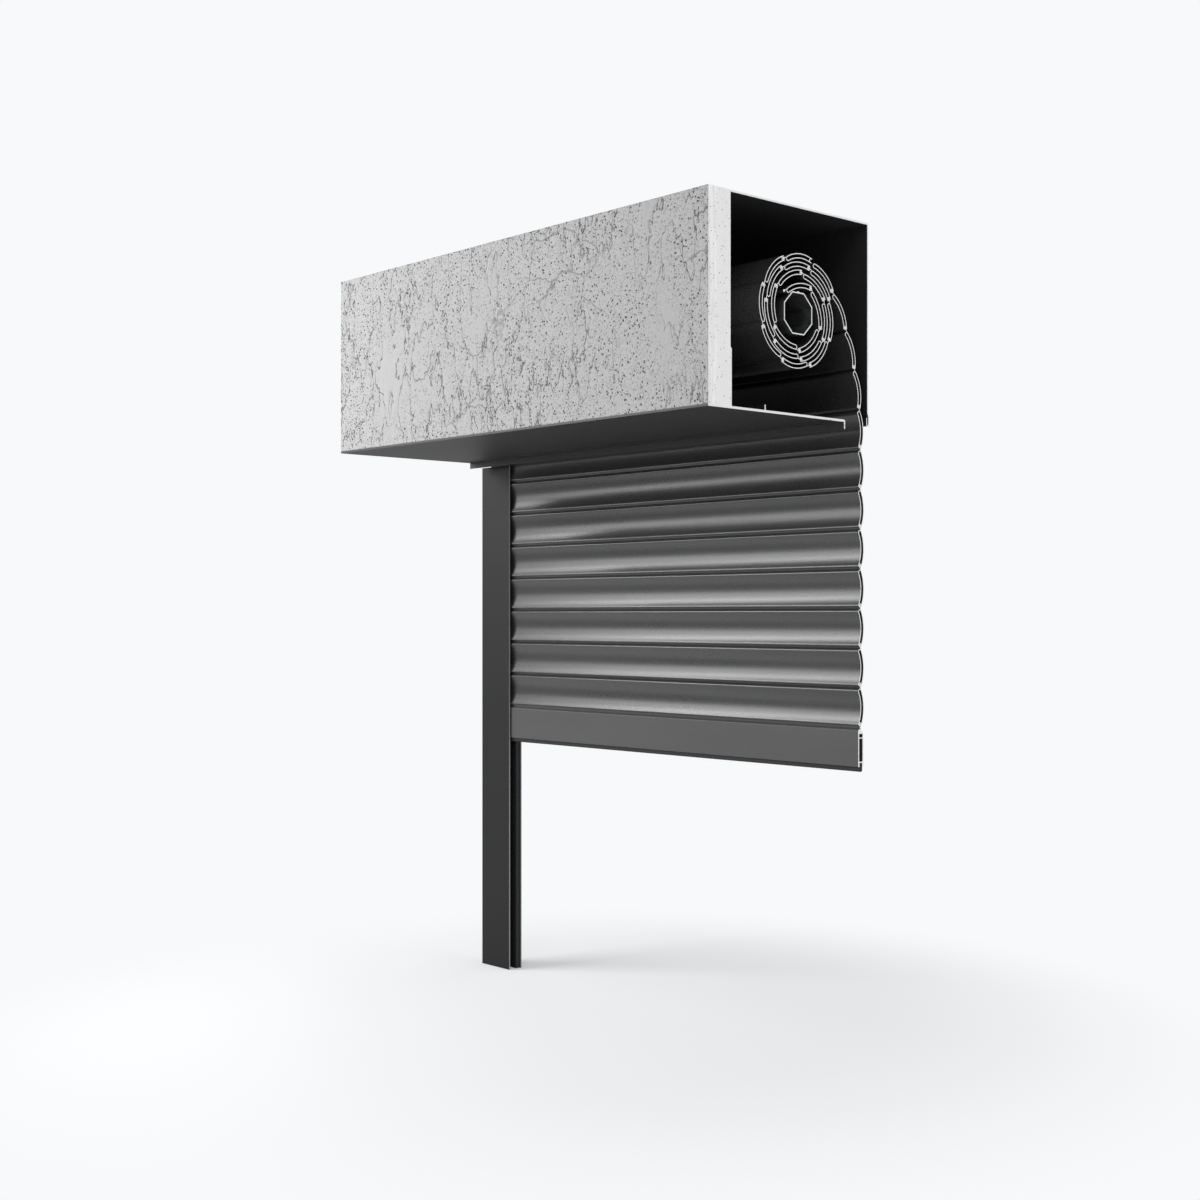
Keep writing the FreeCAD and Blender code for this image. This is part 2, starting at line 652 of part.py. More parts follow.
def wound_nodes():
    """The hinge points of the roll about the tube's axis, inner end first.

    Each is (winding angle, radius). A slat that spans a hinge of the turn below it clears
    that hinge's ring by the winding gap, which sets how far a turn lies above the last.
    """
    rise = 2 * size("ring_outer") + size("winding_gap") - size("slat_bow")

    def above(radius):
        return math.hypot(radius + rise, pitch / 2)

    inner = size("first_turn_radius")
    winding = [0.0]
    radii = [inner]

    def radius_at(turned):
        below = turned - 2 * math.pi
        if below <= 0:
            return inner + (above(inner) - inner) * turned / (2 * math.pi)
        for index in range(1, len(winding)):
            if winding[index] >= below:
                share = (below - winding[index - 1]) / (winding[index] - winding[index - 1])
                return above(radii[index - 1] + share * (radii[index] - radii[index - 1]))
        raise ValueError("the turn below is missing")

    # the first slat lies close to the tube, between its hanger and the first turn
    reach = size("hanger_reach")
    winding.insert(0, -math.acos((reach ** 2 + inner ** 2 - pitch ** 2) / (2 * reach * inner)))
    radii.insert(0, reach)
    for _ in range(round(size("wound_slats")) - 1):
        near = winding[-1]
        far = near + math.pi
        while far - near > 1e-9:
            turned = (near + far) / 2
            radius = radius_at(turned)
            reached = math.sqrt(radii[-1] ** 2 + radius ** 2
                                - 2 * radii[-1] * radius * math.cos(turned - winding[-1]))
            if reached < pitch:
                near = turned
            else:
                far = turned
        winding.append(far)
        radii.append(radius_at(far))
    # the slat that leaves the roll next lies a little loose on it
    for index in (-2, -1):
        radii[index] += size("leaving_lift")
    return list(zip(winding, radii))


nodes_of_roll = wound_nodes()
wound_count = len(nodes_of_roll) - 1
leaving = math.radians(size("leaving_angle"))
outer_turned, outer_radius = nodes_of_roll[-1]


def roll_point(index):
    """Hinge point of the roll, counted from its inner end."""
    turned, radius = nodes_of_roll[index]
    angle = leaving + outer_turned - turned
    return axis_y + radius * math.cos(angle), axis_z + radius * math.sin(angle)


def lean_between(low, high):
    """How far a slat between two hinge points leans towards the outer face."""
    return math.atan2(low[0] - high[0], high[1] - low[1])


# Between the rails and the roll each slat leans more than the one below it. The leans keep
# their shares, and one factor brings the lowest of them onto the curtain's line.
lean_shares = [size(f"chain_lean_{index}") for index in range(1, 5)]
top_of_chain = roll_point(wound_count)


def chain_reach(factor):
    return sum(pitch * math.sin(math.radians(share * factor)) for share in lean_shares)


low_factor = 0.0
high_factor = 2.0
while high_factor - low_factor > 1e-9:
    factor = (low_factor + high_factor) / 2
    if chain_reach(factor) < hang_y - top_of_chain[0]:
        low_factor = factor
    else:
        high_factor = factor
chain_leans = [math.radians(share * factor) for share in lean_shares]
chain_rise = sum(pitch * math.cos(lean) for lean in chain_leans)
straight_top = top_of_chain[1] - chain_rise

# The bottom bar hangs from the lowest slat of the straight run
straight_count = round(size("straight_slats"))
bar_z = straight_top - (straight_count + 1) * pitch
for name in ("bottom_bar", "bottom_bar_seal", "bottom_bar_cap"):
    placement = nodes[name].Placement
    placement.Base.z = bar_z
    nodes[name].Placement = placement

# Straight slats of the curtain, lowest first, and the clips on the ends of every other one
clips = []
for index in range(straight_count):
    low_z = bar_z + (index + 1) * pitch
    keep(f"slat_{index + 1:02d}", place_on_line("slat", slat_body, hang_y, low_z))
    if index % 2 == 0:
        clip_x = size(f"{slat_left} - clip_thickness")
        clips.append(place_on_line("slat_end_clip", clip_body, hang_y, low_z, x=clip_x))
keep("slat_end_clips", grouped("slat_end_clips", clips))

# Slats between the rails and the roll, then the outermost slat of the roll
number = straight_count
low = (hang_y, straight_top)
for lean in chain_leans:
    number += 1
    keep(f"slat_{number:02d}", place_on_line("slat", slat_body, *low, lean))
    low = (low[0] - pitch * math.sin(lean), low[1] + pitch * math.cos(lean))
number += 1
lean = lean_between(roll_point(wound_count), roll_point(wound_count - 1))
keep(f"slat_{number:02d}", place_on_line("slat", slat_open, *roll_point(wound_count), lean))

# The slats that stay on the roll, one piece for each turn of the winding
turns = {}
for index in range(wound_count - 1, 0, -1):
    low = roll_point(index)
    lean = lean_between(low, roll_point(index - 1))
    turned = outer_turned - nodes_of_roll[index][0]
    turn_name = f"wound_turn_{int(turned / (2 * math.pi)) + 1}"
    turns.setdefault(turn_name, []).append(place_on_line("slat", slat_body, *low, lean))
for turn_name, slats in turns.items():
    keep(turn_name, grouped(turn_name, slats))

# Hangers: rings that hold the inner end of the curtain, each on a foot on one of the tube's flats
innermost = roll_point(0)
hold_angle = math.atan2(innermost[1] - axis_z, innermost[0] - axis_y)
flat_normal = round(hold_angle / (math.pi / 4)) * math.pi / 4
reach = size("hanger_reach")
ring_along = reach * math.sin(hold_angle - flat_normal)
ring_above = reach * math.cos(hold_angle - flat_normal) - size(flat)
outer = size("ring_outer")
inner = size("ring_inner")
width = size("hanger_width")
first_lean = lean_between(roll_point(1), innermost)
gap_sweep = size("ring_gap_front - ring_gap_rear")
neck_angle = math.degrees(first_lean) - 90 + size("neck_lean")
x_axis = FreeCAD.Vector(1, 0, 0)
origin = FreeCAD.Vector(0, 0, 0)
ring = Part.makeCylinder(outer, width, origin, x_axis).cut(Part.makeCylinder(inner, width, origin, x_axis))
# the ring's mouth is a wedge about the direction in which the first slat's neck leaves it
mouth_corners = [origin]
for share in (-0.5, 0, 0.5):
    angle = math.radians(neck_angle + share * gap_sweep)
    mouth_corners.append(FreeCAD.Vector(0, math.cos(angle), math.sin(angle)) * pitch)
mouth = Part.Face(Part.makePolygon(mouth_corners + [origin])).extrude(x_axis * width)
ring = ring.cut(mouth)
ring.translate(FreeCAD.Vector(0, innermost[0], innermost[1]))
foot = Part.makeBox(width, size("hanger_foot"), size("hanger_plate"))
foot.translate(FreeCAD.Vector(0, -size("hanger_foot") / 2, size(flat)))
web_height = ring_above - (outer + inner) / 2
web = Part.makeBox(width, size("hanger_plate"), web_height)
web.translate(FreeCAD.Vector(0, -ring_along - size("hanger_plate") / 2, size(flat)))
strap = foot.fuse(web)
strap.rotate(origin, x_axis, math.degrees(flat_normal) - 90)
strap.translate(FreeCAD.Vector(0, axis_y, axis_z))
hanger_shape = ring.fuse(strap).removeSplitter()
hangers = []
hanger_count = round(size("hanger_count"))
for index in range(hanger_count):
    hanger = doc.addObject("Part::Feature", "hanger")
    hanger.Shape = hanger_shape
    place = size(slat_left) + size(slat_length) * (2 * index + 1) / (2 * hanger_count)
    hanger.Placement = FreeCAD.Placement(FreeCAD.Vector(place, 0, 0), FreeCAD.Rotation())
    hangers.append(hanger)
keep("curtain_hangers", grouped("curtain_hangers", hangers))

doc.recompute()
faults = []
for thing in doc.Objects:
    if "Invalid" in thing.State or "Error" in thing.State:
        faults.append(thing.Label)
for name, thing in nodes.items():
    if thing.Shape.isNull() or not thing.Shape.isValid() or not thing.Shape.Solids:
        faults.append(name)
if faults:
    raise RuntimeError("these did not build: " + ", ".join(faults))
for name, thing in nodes.items():
    thing.Shape.exportStep(f"parts/{name}.step")
print(len(nodes), "pieces, top of the straight run at", round(straight_top, 2))
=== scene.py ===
import json
import math
import bmesh
import bpy
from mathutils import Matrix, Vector
from mathutils.geometry import tessellate_polygon


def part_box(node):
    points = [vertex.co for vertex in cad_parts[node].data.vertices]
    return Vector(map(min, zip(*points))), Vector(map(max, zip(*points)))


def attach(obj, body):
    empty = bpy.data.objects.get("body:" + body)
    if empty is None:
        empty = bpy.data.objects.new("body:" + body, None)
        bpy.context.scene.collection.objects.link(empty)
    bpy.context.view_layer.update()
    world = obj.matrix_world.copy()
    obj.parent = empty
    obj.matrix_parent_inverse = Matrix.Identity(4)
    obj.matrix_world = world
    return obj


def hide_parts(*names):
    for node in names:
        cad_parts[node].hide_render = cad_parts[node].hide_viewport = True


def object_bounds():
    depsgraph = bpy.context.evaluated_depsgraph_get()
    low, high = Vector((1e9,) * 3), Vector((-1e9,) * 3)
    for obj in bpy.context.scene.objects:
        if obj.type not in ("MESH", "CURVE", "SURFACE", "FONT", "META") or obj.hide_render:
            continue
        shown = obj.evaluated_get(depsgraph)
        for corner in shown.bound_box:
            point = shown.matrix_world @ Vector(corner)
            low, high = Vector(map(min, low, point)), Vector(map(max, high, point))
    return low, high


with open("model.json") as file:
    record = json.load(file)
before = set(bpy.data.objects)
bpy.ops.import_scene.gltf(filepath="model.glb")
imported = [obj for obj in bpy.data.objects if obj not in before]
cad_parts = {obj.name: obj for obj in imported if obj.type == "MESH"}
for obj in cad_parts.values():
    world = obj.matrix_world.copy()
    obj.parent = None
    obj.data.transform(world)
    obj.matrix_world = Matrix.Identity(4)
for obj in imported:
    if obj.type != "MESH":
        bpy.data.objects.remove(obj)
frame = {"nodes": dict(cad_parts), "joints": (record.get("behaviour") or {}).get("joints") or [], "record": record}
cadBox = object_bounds()
scene = bpy.context.scene
print("frame loaded,", len(frame["nodes"]), "pieces")

# The viewpoint comes first: it looks level at the cut corner, from the outer face's side
viewpoint = {
    "place": (1.3534, -1.1920, 0.4321), "heading": (-0.7440, 0.6682, 0.0),
    "lens": 50.31, "sensor": 36, "shiftUp": 0.0133, "reach": 50,
}
cameraData = bpy.data.cameras.new("viewpoint")
cameraData.lens = viewpoint["lens"]
cameraData.sensor_width = viewpoint["sensor"]
cameraData.shift_y = viewpoint["shiftUp"]
cameraData.clip_end = viewpoint["reach"]
camera = bpy.data.objects.new("viewpoint", cameraData)
camera.location = viewpoint["place"]
camera.rotation_euler = Vector(viewpoint["heading"]).to_track_quat("-Z", "Y").to_euler()
scene.collection.objects.link(camera)
scene.camera = camera


class Wire:
    # one output of a node, so that sums on outputs can be written as plain expressions
    def __init__(self, tree, socket):
        self.tree, self.socket = tree, socket

    def maths(self, operation, *values):
        return addNode(self.tree, "ShaderNodeMath", {"operation": operation}, dict(enumerate(values)))

    def __add__(self, other):
        return self.maths("ADD", self, other)

    def __sub__(self, other):
        return self.maths("SUBTRACT", self, other)

    def __rsub__(self, other):
        return self.maths("SUBTRACT", other, self)

    def __mul__(self, other):
        return self.maths("MULTIPLY", self, other)

    def __gt__(self, other):
        return self.maths("GREATER_THAN", self, other)

    def __lt__(self, other):
        return self.maths("LESS_THAN", self, other)

    def __abs__(self):
        return self.maths("ABSOLUTE", self)

    def most(self, other):
        return self.maths("MAXIMUM", self, other)

    def rising(self, low, high):
        # 0 below low, 1 above high, smooth between them
        return addNode(self.tree, "ShaderNodeMapRange", {"interpolation_type": "SMOOTHSTEP"},
                       {"Value": self, "From Min": low, "From Max": high})

    def falling(self, low, high):
        return 1 - self.rising(low, high)

    __radd__ = __add__
    __rmul__ = __mul__


def feed(tree, socket, value):
    if isinstance(value, Wire):
        tree.links.new(value.socket, socket)
    else:
        socket.default_value = value


def addNode(tree, kind, settings=None, sockets=None, out=0):
    made = tree.nodes.new(kind)
    for name, value in (settings or {}).items():
        setattr(made, name, value)
    for name, value in (sockets or {}).items():
        feed(tree, made.inputs[name], value)
    return Wire(tree, made.outputs[out])


class Finish:
    # one material: its own tree, the object's coordinates, and the patterns that several finishes share
    def __init__(self, name):
        self.material = bpy.data.materials.new(name)
        self.material.use_nodes = True
        self.tree = self.material.node_tree
        self.tree.nodes.clear()
        self.place = self.node("ShaderNodeTexCoord", out="Object")
        self.x = self.node("ShaderNodeSeparateXYZ", {}, {0: self.place}, 0)

    def node(self, kind, settings=None, sockets=None, out=0):
        return addNode(self.tree, kind, settings, sockets, out)

    def stretched(self, x, y, z):
        return self.node("ShaderNodeVectorMath", {"operation": "MULTIPLY"}, {0: self.place, 1: (x, y, z)})

    def noise(self, scale, detail, rough, stretch=(1, 1, 1), shift=0.0):
        spot = self.stretched(*stretch)
        spot = self.node("ShaderNodeVectorMath", {"operation": "ADD"}, {0: spot, 1: (shift, shift, shift)})
        return self.node("ShaderNodeTexNoise", {}, {
            "Vector": spot, "Scale": scale, "Detail": detail, "Roughness": rough})

    def cells(self, scale, feature="F1"):
        return self.node("ShaderNodeTexVoronoi", {"feature": feature}, {"Vector": self.place, "Scale": scale})

    def scaled(self, colour, factor):
        return self.node("ShaderNodeVectorMath", {"operation": "SCALE"}, {0: colour, "Scale": factor})

    def mixed(self, factor, low, high):
        low, high = [value if isinstance(value, Wire) else (*value, 1) for value in (low, high)]
        return self.node("ShaderNodeMix", {"data_type": "RGBA"}, {0: factor, 6: low, 7: high}, 2)

    def bump(self, height, strength, distance):
        return self.node("ShaderNodeBump", {}, {
            "Height": height, "Strength": strength, "Distance": distance}, "Normal")

    def done(self, colour, roughness, metallic, normal, shine=0.5):
        shader = self.node("ShaderNodeBsdfPrincipled", {}, {
            "Base Color": colour, "Roughness": roughness, "Metallic": metallic,
            "Specular IOR Level": shine, "Normal": normal})
        output = self.tree.nodes.new("ShaderNodeOutputMaterial")
        self.tree.links.new(shader.socket, output.inputs["Surface"])
        return self.material


# Every metal piece that runs to the right end is cut there by one clean saw cut, which shows bare
# on the last 0.12 mm along X
cutEnd = {"at": cadBox[1][0] - 0.00012, "colour": (0.93, 0.935, 0.94), "roughness": 0.5}


def bareCut(finish):
    return finish.x > cutEnd["at"]


# Coats: the scales of their patterns per metre, how they are drawn out along X, and how strongly they show
coats = {
    "cloudScale": 9, "cloudAlong": 0.35, "wipeScale": 60, "wipeAlong": 0.04, "speckleScale": 900,
    "peelScale": 650, "sawScale": 900, "sawAcross": 0.1, "sawDepth": 2,
    "cloudGloss": 0.12, "speckleGloss": 0.1, "paintedHighlight": (0.30, 0.302, 0.305),
    "relief": 0.5, "reliefDepth": 0.00002,
}


def coatedMetal(name, colour, roughness, speckle, streaks, metallic=0.0, highlightFrom=None, shine=0.5):
    # powder coat or stove enamel: slight orange peel, a fine speckle and long faint wipe marks;
    # beyond a given place along X, the colour is a pale grey: a painted highlight where the edge catches the light
    finish = Finish(name)
    cut = bareCut(finish)
    cloud = finish.noise(coats["cloudScale"], detail=4, rough=0.6, stretch=(coats["cloudAlong"], 1, 1))
    wipe = finish.noise(coats["wipeScale"], detail=3, rough=0.6, stretch=(coats["wipeAlong"], 1, 1))
    dots = finish.noise(coats["speckleScale"], detail=2, rough=0.6)
    shade = 1 + (cloud - 0.5) * streaks * 2 + (wipe - 0.5) * streaks + (dots - 0.5) * speckle
    pale = finish.scaled(colour, shade)
    if highlightFrom is not None:
        # painted highlight: past that place the coat turns pale grey, as the lit edge looks
        pale = finish.mixed(finish.x > highlightFrom, pale, coats["paintedHighlight"])
    mixed = finish.mixed(cut, pale, cutEnd["colour"])
    gloss = roughness + (cloud - 0.5) * coats["cloudGloss"] + (dots - 0.5) * coats["speckleGloss"]
    gloss = finish.node("ShaderNodeMix", {}, {0: cut, 2: gloss, 3: cutEnd["roughness"]})
    peel = finish.noise(coats["peelScale"], detail=2, rough=0.5)
    saw = finish.noise(coats["sawScale"], detail=2, rough=0.5, stretch=(1, coats["sawAcross"], 1)) * cut
    normal = finish.bump(peel + saw * coats["sawDepth"], coats["relief"], coats["reliefDepth"])
    return finish.done(mixed, gloss, (1 - cut) * metallic if metallic else 0.0, normal, shine)


# Zinc: the crystal patches, the marks of rolling, and the depth of both
zinc = {
    "patchScale": 130.0, "rollScale": 90, "rollAlong": 0.05, "rollShade": 0.2, "patchGloss": 0.15,
    "metallic": 0.85, "patchDepth": 0.4, "relief": 0.3, "reliefDepth": 0.00003,
}


def plating(name, colour, roughness, spangle=0.25):
    # zinc on steel: crystal patches of slightly different grey, with fine rolling marks
    finish = Finish(name)
    cut = bareCut(finish)
    patch = finish.node("ShaderNodeTexVoronoi", {}, {
        "Vector": finish.place, "Scale": zinc["patchScale"]}, "Color")
    patch = finish.node("ShaderNodeSeparateXYZ", {}, {0: patch}, 0)
    rolled = finish.noise(zinc["rollScale"], detail=3, rough=0.6, stretch=(zinc["rollAlong"], 1, 1))
    shade = 1 + (patch - 0.5) * spangle + (rolled - 0.5) * zinc["rollShade"]
    mixed = finish.mixed(cut, finish.scaled(colour, shade), cutEnd["colour"])
    gloss = roughness + (patch - 0.5) * zinc["patchGloss"]
    normal = finish.bump(rolled + patch * zinc["patchDepth"], zinc["relief"], zinc["reliefDepth"])
    return finish.done(mixed, gloss, (1 - cut) * zinc["metallic"], normal)


# Moulded surfaces: the bloom, the eroded skin and its depth
moulding = {
    "bloomScale": 14, "bloomShade": 0.5, "skinShade": 0.3, "bloomGloss": 0.15,
    "relief": 0.6, "reliefDepth": 0.00004,
}


def moulded(name, colour, roughness, texture=900.0):
    # moulded nylon or rubber: an eroded fine texture and slight bloom
    finish = Finish(name)
    skin = finish.noise(texture, detail=3, rough=0.6)
    bloom = finish.noise(moulding["bloomScale"], detail=3, rough=0.5)
    shade = 1 + (bloom - 0.5) * moulding["bloomShade"] + (skin - 0.5) * moulding["skinShade"]
    gloss = roughness + (bloom - 0.5) * moulding["bloomGloss"]
    normal = finish.bump(skin, moulding["relief"], moulding["reliefDepth"])
    return finish.done(finish.scaled(colour, shade), gloss, 0.0, normal)


# The render: the scales of its marks per metre, the ranges in which they open, and how strongly they show
plasterLook = {
    "colour": (0.41, 0.41, 0.408), "hollowShade": (0.02, 0.02, 0.02), "cutColour": (0.95, 0.95, 0.95),
    "pitScale": 270.0, "finePitScale": 560.0,
    "tearScale": 46.0, "tearStretch": (1, 1, 0.34), "tearWidth": 0.011, "tearPatch": (0.34, 0.50),
    "patchScale": 7.0, "patchShift": 3.0, "crowdScale": 11.0, "crowdStretch": (1, 1, 0.6),
    "pitCrowd": (0.28, 0.54), "pitWidth": (0.15, 0.30),
    "finePitCrowd": (0.28, 0.52), "finePitWidth": (0.14, 0.30),
    "hairWidth": 0.012, "hairScale": 13.0, "hairBend": 0.035, "hairBendScale": 22.0,
    "hairPatchScale": 5, "hairPatchShift": 8.0, "hairPatch": (0.50, 0.62),
    "grainScale": 420, "ridgeRatio": 1.7,
    "sawScale": 240, "sawStretch": (1, 1, 0.08), "voidScale": 300, "voidWidth": (0.10, 0.20),
    "fineShare": 0.8, "tearShare": 0.85, "hairShare": 0.5, "depthShadeShare": 0.6,
    "crowdShade": 0.10, "grainShade": 0.14, "sawShade": 0.7, "voidShade": 0.75,
    "ridgeHeight": 1.2, "sawHeight": 0.3, "grainHeight": 0.12,
    "relief": 0.9, "reliefDepth": 0.0007, "roughness": 0.88,
}


def plasterFinish():
    look = plasterLook
    finish = Finish("render")
    cut = bareCut(finish)
    # open pits between the grains, crowded in some places and rare in the trowelled ones
    crowd = finish.noise(look["crowdScale"], detail=3, rough=0.6, stretch=look["crowdStretch"])
    pits = finish.cells(look["pitScale"]).falling(*look["pitWidth"]) * crowd.rising(*look["pitCrowd"])
    fine = finish.cells(look["finePitScale"]).falling(*look["finePitWidth"])
    fine = fine * crowd.rising(*look["finePitCrowd"])
    # wavering vertical tears, where the float has dragged grains down
    tears = abs(finish.noise(look["tearScale"], detail=4, rough=0.55, stretch=look["tearStretch"]) - 0.5)
    tears = tears.falling(0.0, look["tearWidth"])
    patch = finish.noise(look["patchScale"], detail=2, rough=0.5, shift=look["patchShift"])
    tears = tears * patch.rising(*look["tearPatch"])
    # a few hairline cracks that wander in any direction
    bent = finish.node("ShaderNodeTexNoise", {}, {
        "Vector": finish.place, "Scale": look["hairBendScale"], "Detail": 3.0}, "Color")
    bent = finish.node("ShaderNodeVectorMath", {"operation": "MULTIPLY_ADD"}, {
        0: bent, 1: (look["hairBend"],) * 3, 2: finish.place})
    hair = finish.node("ShaderNodeTexVoronoi", {"feature": "DISTANCE_TO_EDGE"}, {
        "Vector": bent, "Scale": look["hairScale"]})
    where = finish.noise(look["hairPatchScale"], detail=2, rough=0.5, shift=look["hairPatchShift"])
    hair = hair.falling(0.0, look["hairWidth"]) * where.rising(*look["hairPatch"])
    grain = finish.noise(look["grainScale"], detail=3, rough=0.6)
    # pits, tears and hairline cracks together: they sink the relief, and they darken the face towards near black
    # as painted shade in the hollows
    hollow = pits.most(fine * look["fineShare"]).most(tears * look["tearShare"])
    hollow = hollow.most(hair * look["hairShare"])
    # the depth stored by the relief darkens the face too, as painted shade in its hollows
    shadedDepth = finish.node("ShaderNodeAttribute", {"attribute_name": "pitDepth"}, {}, "Fac")
    hollow = hollow.most(shadedDepth * look["depthShadeShare"])
    shade = 1 + (crowd - 0.5) * look["crowdShade"] + (grain - 0.5) * look["grainShade"]
    face = finish.mixed(hollow, finish.scaled(look["colour"], shade), look["hollowShade"])
    # the sawn end is paler, with upright saw marks and a few voids, which are darkened as painted shade
    sawn = finish.noise(look["sawScale"], detail=4, rough=0.7, stretch=look["sawStretch"])
    voids = finish.cells(look["voidScale"]).falling(*look["voidWidth"])
    end = finish.scaled(look["cutColour"], 1 + (sawn - 0.5) * look["sawShade"] - voids * look["voidShade"])
    # rounded ridges between the tears, which catch the light from the side
    ridgeScale = look["tearScale"] * look["ridgeRatio"]
    ridge = finish.noise(ridgeScale, detail=4, rough=0.6, stretch=look["tearStretch"])
    relief = (1 - hollow + ridge * look["ridgeHeight"]) * (1 - cut)
    relief = relief + sawn * cut * look["sawHeight"] + grain * look["grainHeight"]
    normal = finish.bump(relief, look["relief"], look["reliefDepth"])
    return finish.done(finish.mixed(cut, face, end), look["roughness"], 0.0, normal)


# Foam: its beads, the seams between them, the open gaps, and a broad cloud
foam = {
    "colour": (0.95, 0.95, 0.945), "roughness": 0.8, "relief": 0.4, "reliefDepth": 0.0004,
    "beadScale": 330, "seamWidth": 0.05, "seamShade": 0.10,
    "gapScale": 230, "gapWidth": (0.08, 0.16), "gapShade": 0.8, "cloudScale": 30, "cloudShade": 0.05,
}


def foamFinish():
    # expanded foam: fused white beads, with open gaps between some of them, darkened as painted shade
    finish = Finish("carrierFoam")
    beads = finish.cells(foam["beadScale"])
    seams = finish.cells(foam["beadScale"], "DISTANCE_TO_EDGE").falling(0.0, foam["seamWidth"])
    gaps = finish.cells(foam["gapScale"]).falling(*foam["gapWidth"])
    cloud = finish.noise(foam["cloudScale"], detail=2, rough=0.5)
    # painted shade: the open gaps darken the white
    tone = 1 - seams * foam["seamShade"] - gaps * foam["gapShade"] + (cloud - 0.5) * foam["cloudShade"]
    normal = finish.bump(0 - beads - gaps, foam["relief"], foam["reliefDepth"])
    return finish.done(finish.scaled(foam["colour"], tone), foam["roughness"], 0.0, normal)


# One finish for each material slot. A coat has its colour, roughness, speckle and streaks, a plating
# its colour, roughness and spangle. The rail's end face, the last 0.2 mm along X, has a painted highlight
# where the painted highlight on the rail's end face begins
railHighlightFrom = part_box("guide_rail")[1].x - 0.0002
finishes = {
    "render": plasterFinish(),
    "carrier_foam": foamFinish(),
    "box_aluminium": coatedMetal("boxAluminium", (0.022, 0.022, 0.023), 0.5, 0.3, 0.25),
    "edge_strip": coatedMetal("edgeStrip", (0.03, 0.03, 0.031), 0.45, 0.3, 0.2),
    "zinc_screws": plating("zincScrews", (0.55, 0.55, 0.54), 0.35, 0.1),
    "galvanised_steel": plating("galvanisedSteel", (0.45, 0.46, 0.47), 0.42),
    "shaft_tube": plating("shaftTube", (0.20, 0.205, 0.21), 0.42),
    "black_nylon": moulded("blackNylon", (0.018, 0.018, 0.018), 0.55),
    "motor_casing": coatedMetal("motorCasing", (0.22, 0.22, 0.23), 0.35, 0.1, 0.1),
    "rubber": moulded("sealRubber", (0.014, 0.014, 0.014), 0.75, 500.0),
    "rail_paint": coatedMetal("railPaint", (0.007, 0.0071, 0.0074), 0.55, 0.25, 0.2,
                              highlightFrom=railHighlightFrom, shine=0.3),
    "cover_paint": coatedMetal("coverPaint", (0.016, 0.016, 0.0165), 0.48, 0.3, 0.25, shine=0.4),
    "bar_paint": coatedMetal("barPaint", (0.068, 0.068, 0.070), 0.48, 0.8, 0.16, shine=0.4),
    "slat_paint": coatedMetal("slatPaint", (0.050, 0.0503, 0.0515), 0.29, 1.1, 0.12, metallic=0.25),
}
slotOf = {row["node"]: row["material_slot"] for row in frame["record"]["subparts"]}
for nodeName, thing in frame["nodes"].items():
    thing.data.materials.clear()
    thing.data.materials.append(finishes[slotOf[nodeName]])
print("finishes made,", len(finishes))


def addPiece(name, mesh, body, replaced):
    piece = bpy.data.objects.new(name, mesh)
    scene.collection.objects.link(piece)
    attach(piece, body)
    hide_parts(*replaced)


class Growth:
    # one Geometry Nodes tree with named inputs, run once on a host mesh
    def __init__(self, name, inputs):
        self.tree = bpy.data.node_groups.new(name, "GeometryNodeTree")
        face = self.tree.interface
        face.new_socket("Geometry", in_out="INPUT", socket_type="NodeSocketGeometry")
        face.new_socket("Geometry", in_out="OUTPUT", socket_type="NodeSocketGeometry")
        self.values = {}
        for label, value in inputs.items():
            kind = "NodeSocketObject" if isinstance(value, bpy.types.Object) else "NodeSocketFloat"
            made = face.new_socket(label, in_out="INPUT", socket_type=kind)
            self.values[made.identifier] = value
        self.start = self.tree.nodes.new("NodeGroupInput")
        self.end = self.tree.nodes.new("NodeGroupOutput")

    def input(self, label):
        return Wire(self.tree, self.start.outputs[label])

    def node(self, kind, settings=None, sockets=None, out=0):
        return addNode(self.tree, kind, settings, sockets, out)

    def bake(self, name, host, shape, material):
        shape = self.node("GeometryNodeRealizeInstances", {}, {0: shape})
        shape = self.node("GeometryNodeSetMaterial", {}, {"Geometry": shape, "Material": material})
        feed(self.tree, self.end.inputs[0], shape)
        holder = bpy.data.objects.new(name + "Host", host)
        scene.collection.objects.link(holder)
        modifier = holder.modifiers.new("growth", "NODES")
        modifier.node_group = self.tree
        for identifier, value in self.values.items():
            modifier[identifier] = value
        seen = holder.evaluated_get(bpy.context.evaluated_depsgraph_get())
        mesh = bpy.data.meshes.new_from_object(seen)
        mesh.name = name
        holder.modifiers.clear()
        bpy.data.objects.remove(holder)
        return mesh


# The rendered face: a closed slab whose outer side is pitted and torn in real relief
plaster = {
    "cell": 0.00115, "pitDepth": 0.0009, "tearDepth": 0.0006, "wave": 0.0004, "waveScale": 18.0,
    "pitWidth": (0.15, 0.34), "margin": 0.003, "skin": 0.0001, "smoothTilt": 0.3,
}


